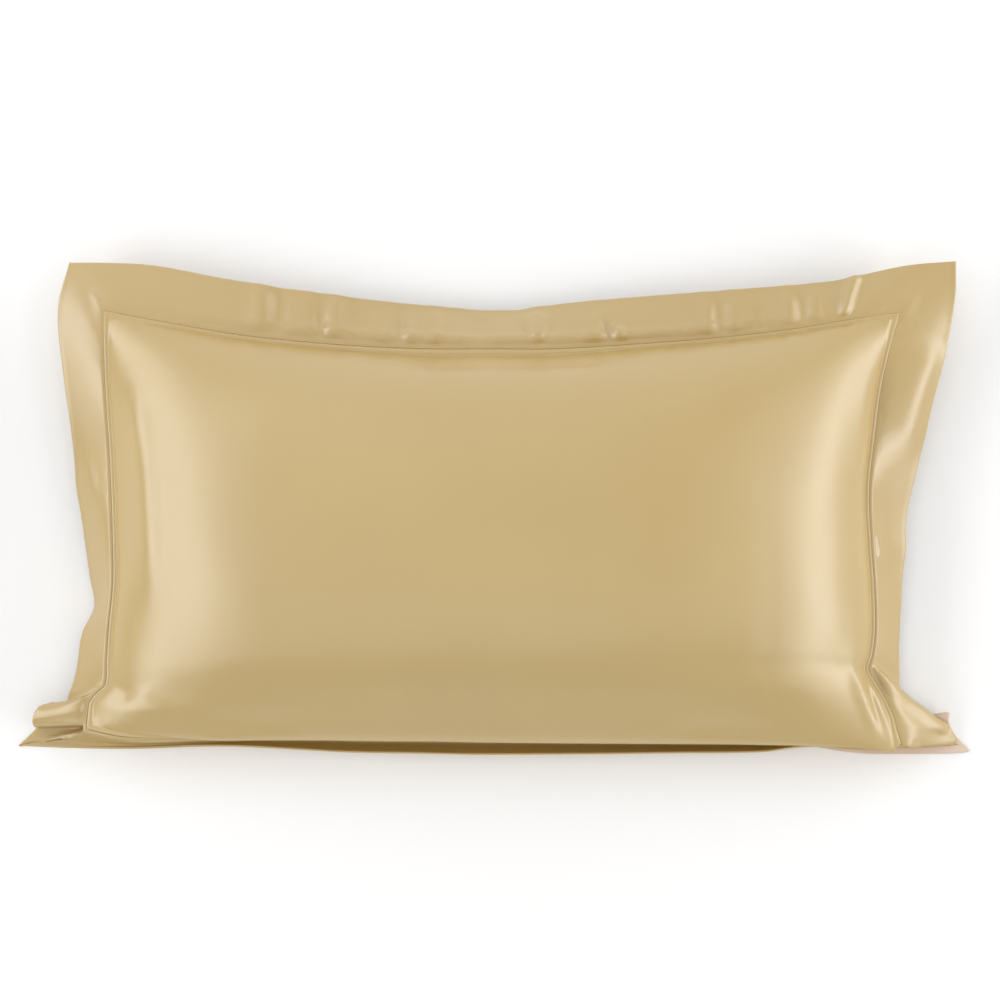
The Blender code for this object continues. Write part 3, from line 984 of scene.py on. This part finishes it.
# The lower layer of the border where it slides out at the lower right corner: places of its edge,
# places under the upper layer and the heights of both, in millimetres.
SLID_OUT = (
    ((357, -261.5), (360, -257), 1.3, 1.3),
    ((377, -265.0), (380, -254), 1.3, 1.3),
    ((408, -268.2), (408, -254), 1.3, 1.3),
    ((441, -268.6), (440, -254), 1.3, 1.3),
    ((484, -268.2), (474, -254), 1.3, 1.3),
    ((508, -267.2), (482, -252), 1.3, 1.3),
    ((520.5, -265.5), (487, -249), 1.3, 1.4),
    ((517.5, -260.5), (487, -245), 1.5, 1.6),
    ((507, -250), (483, -239), 2.4, 2.2),
    ((500.5, -240), (480, -234), 4.5, 3.5),
    ((498, -232), (477, -230), 7.0, 5.0),
    ((498, -223.5), (474, -226), 9.5, 6.0),
    ((488, -224), (472, -225), 9.5, 6.0),
    ((476, -227), (470, -226), 8.0, 6.0),
)


@dataclass
class LowerLayer:
    """The back panel's part of the border, where it shows beyond the front panel's."""

    outline: CaseOutline
    thickness: float = 0.0008
    columns: int = 120
    rows: int = 14

    def edge(self, number: int, height: int) -> Grid:
        """Returns a smooth line through one column of places and one of heights, in metres."""
        known = np.array([(*row[number], row[height]) for row in SLID_OUT], float)
        share = np.linspace(0, len(known) - 1, self.columns + 1)
        line = [smooth_through(np.arange(len(known)), known[:, axis], share) for axis in range(3)]
        return np.stack(line, axis=1) * MM + self.outline.shift

    def build(self) -> bpy.types.Object:
        """Builds both faces of the sheet and joins them round its edge."""
        across = np.linspace(0, 1, self.rows + 1)[None, :, None]
        places = self.edge(0, 2)[:, None] * (1 - across) + self.edge(1, 3)[:, None] * across
        half = (0, 0, self.thickness / 2)
        return joined_panels("lower_layer", places + half, places - half, places)

    def dress(self, piece: bpy.types.Object, material: bpy.types.Material) -> None:
        """Finishes the layer and ties it to the case."""
        piece.data.materials.append(material)
        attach(piece, BODY)


@dataclass
class Stitching:
    """The line of stitches that holds the border to the pocket."""

    border: Border
    outside: float = 0.0017          # from the pocket's edge
    pitch: float = 0.0030
    length: float = 0.0024
    thread: float = 0.00034

    def build(self) -> bpy.types.Object:
        """Builds every stitch as a small rounded bead along the line."""
        ring = self.border.outline.stitch_ring(self.border.sewn_gap + self.outside)
        ring = np.concatenate([ring, ring[:1]])
        steps = np.linalg.norm(np.diff(ring, axis=0), axis=1)
        walked = np.concatenate([[0], np.cumsum(steps)])
        count = int(walked[-1] / self.pitch)
        bead = self.bead()
        mesh = bmesh.new()
        for number in range(count):
            middle, ahead = (
                Vector([np.interp(place, walked, ring[:, axis]) for axis in range(3)])
                for place in (number * self.pitch, number * self.pitch + self.length / 2)
            )
            middle.z += self.border.thickness / 2
            ahead.z += self.border.thickness / 2
            turn = (ahead - middle).to_track_quat("X", "Z").to_matrix().to_4x4()
            stitch = bead.copy()
            stitch.transform(Matrix.Translation(middle) @ turn)
            mesh.from_mesh(stitch)
            bpy.data.meshes.remove(stitch)
        bpy.data.meshes.remove(bead)
        return new_piece("stitches", mesh)

    def bead(self) -> bpy.types.Mesh:
        """Returns one stitch, a long rounded bead along X."""
        size = Matrix.Diagonal((self.length, self.thread, self.thread, 1))
        mesh = bmesh.new()
        bmesh.ops.create_uvsphere(mesh, u_segments=6, v_segments=4, radius=0.5, matrix=size)
        data = bpy.data.meshes.new("stitch")
        mesh.to_mesh(data)
        mesh.free()
        return data

    def dress(self, piece: bpy.types.Object, material: bpy.types.Material) -> None:
        """Finishes the stitches and ties them to the case."""
        piece.data.materials.append(material)
        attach(piece, BODY)


class Wire:
    """A shader socket, so that shader maths reads as Python expressions."""

    def __init__(self, graph: "Graph", socket: bpy.types.NodeSocket) -> None:
        """Keeps the graph that the socket belongs to."""
        self.graph = graph
        self.socket = socket

    def maths(self, operation: str, *values: Any) -> "Wire":
        """Adds one Math node that works on this socket and the given values."""
        inputs = dict(enumerate((self, *values)))
        return self.graph.node("ShaderNodeMath", {"operation": operation}, inputs)

    def __add__(self, other: Any) -> "Wire":
        """Adds a value."""
        return self.maths("ADD", other)

    def __sub__(self, other: Any) -> "Wire":
        """Takes a value away."""
        return self.maths("SUBTRACT", other)

    def __mul__(self, other: Any) -> "Wire":
        """Multiplies by a value."""
        return self.maths("MULTIPLY", other)

    def sine(self) -> "Wire":
        """Takes the sine."""
        return self.maths("SINE")

    def clamped(self) -> "Wire":
        """Keeps the value from 0 to 1."""
        return self.graph.node("ShaderNodeClamp", inputs={"Value": self})


class Graph:
    """The nodes of one material."""

    def __init__(self, name: str) -> None:
        """Makes an empty material of that name."""
        self.material = bpy.data.materials.new(name)
        self.material.use_nodes = True
        self.tree = self.material.node_tree
        self.tree.nodes.clear()

    def node(
        self,
        kind: str,
        settings: dict[str, Any] | None = None,
        inputs: dict[Any, Any] | None = None,
        output: int | str = 0,
    ) -> Wire:
        """Adds a node, sets it up and links it.

        Args:
            kind: the node's type.
            settings: its properties, which are set first.
            inputs: values or wires for its sockets, by name or number.
            output: the output to return.

        Returns:
            The wire of that output.
        """
        made = self.tree.nodes.new(kind)
        for name, value in (settings or {}).items():
            setattr(made, name, value)
        for name, value in (inputs or {}).items():
            socket = made.inputs[name]
            if isinstance(value, Wire):
                self.tree.links.new(value.socket, socket)
            else:
                socket.default_value = value
        return Wire(self, made.outputs[output])

    def mix(self, share: Any, first: Any, second: Any) -> Wire:
        """Mixes two colours by a share."""
        settings = {"data_type": "RGBA", "clamp_factor": True}
        return self.node("ShaderNodeMix", settings, {0: share, 6: first, 7: second}, output=2)

    def stretched(self, place: Wire, scale: Triple) -> Wire:
        """Scales a place, for patterns that are longer one way."""
        inputs = {0: place, 1: scale}
        return self.node("ShaderNodeVectorMath", {"operation": "MULTIPLY"}, inputs)

    def noise(self, place: Wire, scale: float, detail: float = 2.0) -> Wire:
        """Reads soft noise at a place, from 0 to 1."""
        inputs = {"Vector": place, "Scale": scale, "Detail": detail, "Roughness": 0.5}
        return self.node("ShaderNodeTexNoise", None, inputs)

    def finish(self, shader: Wire) -> bpy.types.Material:
        """Links the shader to the output and returns the material."""
        end = self.tree.nodes.new("ShaderNodeOutputMaterial")
        self.tree.links.new(shader.socket, end.inputs["Surface"])
        return self.material


@dataclass(frozen=True)
class SatinFinish:
    """Woven satin: a soft gloss, faint threads and slow changes of tone."""

    name: str
    colour: Colour
    deep_colour: Colour
    roughness: float = 0.40
    gloss_index: float = 2.2         # of the threads' surface, for a pale sheen over the dye
    coat_weight: float = 0.15
    coat_roughness: float = 0.32
    weave_pitch: float = 0.0005
    weave_depth: float = 0.000006
    streak_depth: float = 0.00004
    warp_scale: Triple = (420.0, 9.0, 1.0)     # of the noise that streaks the cloth upwards
    weft_scale: Triple = (7.0, 520.0, 1.0)     # and along its length
    broad_scale: float = 5.0                   # of the slow changes of tone
    noise_detail: float = 3.0
    weft_rise: float = 0.6                     # height of the weft streaks beside the warp's 1
    tone_broad: float = 1.2                    # how strongly each noise changes the tone
    tone_warp: float = 0.30
    tone_weft: float = 0.18
    gloss_warp: float = 0.10                   # and how strongly two of them the roughness
    gloss_broad: float = 0.08

    def make(self) -> bpy.types.Material:
        """Makes the material."""
        graph = Graph(self.name)
        flat = graph.node("ShaderNodeUVMap", {"uv_map": FLAT_MAP})
        warp = graph.noise(graph.stretched(flat, self.warp_scale), 1.0, self.noise_detail)
        weft = graph.noise(graph.stretched(flat, self.weft_scale), 1.0, self.noise_detail)
        broad = graph.noise(flat, self.broad_scale, self.noise_detail)
        uneven, warped, wefted = broad - 0.5, warp - 0.5, weft - 0.5
        parts = graph.node("ShaderNodeSeparateXYZ", None, {0: flat})
        across = Wire(graph, parts.socket.node.outputs["X"])
        upward = Wire(graph, parts.socket.node.outputs["Y"])
        turns = 2 * math.pi / self.weave_pitch
        weave = (across * turns).sine() * (upward * turns).sine()
        tone = uneven * self.tone_broad + warped * self.tone_warp + wefted * self.tone_weft + 0.5
        colour = graph.mix(tone.clamped(), self.deep_colour, self.colour)
        roughness = warped * self.gloss_warp + uneven * self.gloss_broad + self.roughness
        height = weave * self.weave_depth + (warp + weft * self.weft_rise) * self.streak_depth
        bump = graph.node("ShaderNodeBump", None, {"Strength": 1.0, "Distance": 1.0, "Height": height})
        shader = graph.node(
            "ShaderNodeBsdfPrincipled",
            None,
            {
                "Base Color": colour,
                "Roughness": roughness,
                "IOR": self.gloss_index,
                "Coat Weight": self.coat_weight,
                "Coat Roughness": self.coat_roughness,
                "Normal": bump,
            },
        )
        return graph.finish(shader)


@dataclass(frozen=True)
class PlainFinish:
    """One even colour with a slight tooth, for the floor."""

    name: str
    colour: Colour
    roughness: float
    tone_scale: float = 3.0
    tone_change: float = 0.1         # how far the noise lifts it towards white

    def make(self) -> bpy.types.Material:
        """Makes the material."""
        graph = Graph(self.name)
        place = graph.node("ShaderNodeTexCoord", output="Object")
        tone = graph.noise(place, self.tone_scale)
        colour = graph.mix(tone * self.tone_change, self.colour, (1.0, 1.0, 1.0, 1.0))
        inputs = {"Base Color": colour, "Roughness": self.roughness}
        return graph.finish(graph.node("ShaderNodeBsdfPrincipled", None, inputs))


FACE_SATIN = SatinFinish("face_satin_cloth", (0.535, 0.375, 0.122, 1), (0.500, 0.340, 0.104, 1))
# The border's satin is the face's satin made a little darker: painted shade for the weaker sheen the
# border catches.
SHADED_BORDER_SATIN = SatinFinish("border_satin_painted_shade", (0.520, 0.360, 0.116, 1), (0.478, 0.322, 0.096, 1))
# The lower layer's pinkish tone is the cloth's own. Its lightness is painted light that makes up for the
# shade it lies in.
PINK_SATIN_WITH_PAINTED_LIGHT = SatinFinish("pink_satin_painted_light", (0.80, 0.61, 0.47, 1), (0.72, 0.54, 0.41, 1))
THREAD = SatinFinish(
    "stitch_thread", (0.60, 0.42, 0.18, 1), (0.52, 0.36, 0.14, 1), roughness=0.5, gloss_index=1.5
)
FLOOR = PlainFinish("pale_floor", (0.98, 0.98, 0.98, 1), 0.9)


@dataclass(frozen=True)
class SoftLight:
    """A rectangular softbox that faces a point."""

    name: str
    place: Triple
    aim: Triple
    width: float
    length: float
    brightness: float                # of its surface, where a white floor in full light has 1
    along: Triple = (0.0, 1.0, 0.0)  # the way its length runs

    def hang(self) -> None:
        """Puts the light in the scene."""
        data = bpy.data.lights.new(self.name, "AREA")
        data.shape = "RECTANGLE"
        data.size = self.width
        data.size_y = self.length
        data.energy = self.brightness * math.pi * self.width * self.length
        back = (Vector(self.place) - Vector(self.aim)).normalized()
        across = Vector(self.along).cross(back).normalized()
        lamp = bpy.data.objects.new(self.name, data)
        lamp.location = self.place
        turn = Matrix((across, back.cross(across), back)).transposed()
        lamp.rotation_euler = turn.to_euler()
        lamp.visible_camera = False
        bpy.context.scene.collection.objects.link(lamp)


@dataclass
class Studio:
    """Pale floor, soft light and a camera that looks down on the face."""

    shift: Grid
    elevation: float = 83.0          # degrees above the floor, as in the photo
    distance: float = 3.2
    pixel: float = 0.00109           # width of a photo pixel at that distance
    photo_size: int = 1000
    sensor: float = 36.0
    target: Triple = (0.0049, 0.0054, 0.0607)
    floor_size: float = 12.0
    world_colour: Colour = (1.0, 0.99, 0.98, 1.0)
    world_strength: float = 0.08
    lights: tuple[SoftLight, ...] = (
        SoftLight("ceiling_front", (-0.2, -2.4, 2.6), (-0.2, -2.4, 0), 2.8, 3.0, 0.82),
        SoftLight("front_wall", (0, -4.2, 1.4), (0, 0, 1.4), 4.0, 2.4, 0.45, (0, 0, 1)),
        SoftLight("ceiling_middle", (-0.4, 0.3, 2.6), (-0.4, 0.3, 0), 2.4, 2.4, 0.70),
        SoftLight("ceiling_right", (1.85, 0.3, 2.5), (1.0, 0.3, 0.1), 0.8, 5.0, 1.10),
        SoftLight("ceiling_back", (-0.4, 3.0, 2.6), (-0.4, 3.0, 0), 2.4, 3.0, 0.86),
        SoftLight("back_wall", (0, 4.5, 1.3), (0, 0, 1.3), 5.0, 2.6, 0.80, (0, 0, 1)),
        SoftLight("left_strip", (-2.5, 0.5, 1.7), (0, 0.5, 0.1), 1.1, 7.0, 3.8),
        SoftLight("right_strip", (2.78, 0.5, 1.28), (0, 0.5, 0.1), 0.80, 7.0, 5.4),
    )

    def build(self) -> None:
        """Lays the floor, hangs the lights and sets the camera."""
        mesh = bmesh.new()
        bmesh.ops.create_grid(mesh, x_segments=4, y_segments=4, size=self.floor_size / 2)
        floor = new_piece("floor", mesh)
        floor.data.materials.append(FLOOR.make())
        for light in self.lights:
            light.hang()
        world = bpy.data.worlds.new("studio")
        world.use_nodes = True
        background = world.node_tree.nodes["Background"]
        background.inputs["Color"].default_value = self.world_colour
        background.inputs["Strength"].default_value = self.world_strength
        bpy.context.scene.world = world
        bpy.context.scene.view_settings.view_transform = "Standard"
        self.set_camera()

    def set_camera(self) -> None:
        """Aims the camera at the photo's angle to the face."""
        data = bpy.data.cameras.new("camera")
        data.sensor_width = self.sensor
        data.lens = self.sensor * self.distance / (self.pixel * self.photo_size)
        camera = bpy.data.objects.new("camera", data)
        target = Vector(self.target) + Vector(self.shift)
        tilt = math.radians(self.elevation)
        camera.location = target + Vector((0, -math.cos(tilt), math.sin(tilt))) * self.distance
        camera.rotation_euler = (math.pi / 2 - tilt, 0, 0)
        bpy.context.scene.collection.objects.link(camera)
        bpy.context.scene.camera = camera


def main() -> None:
    """Builds the pocket, the border, its lower layer and the stitches, and lights them."""
    logging.basicConfig(level=logging.INFO, format="%(name)s: %(message)s")
    outline = CaseOutline(Spacing())
    pocket = FilledPocket(outline)
    border = Border(outline)
    for maker, material in (
        (pocket, FACE_SATIN.make()),
        (border, SHADED_BORDER_SATIN.make()),
        (LowerLayer(outline), PINK_SATIN_WITH_PAINTED_LIGHT.make()),
        (Stitching(border), THREAD.make()),
    ):
        piece = maker.build()
        maker.dress(piece, material)
        LOG.info("%s: %d faces", piece.name, len(piece.data.polygons))
    Studio(outline.shift).build()


if __name__ == "__main__":
    main()
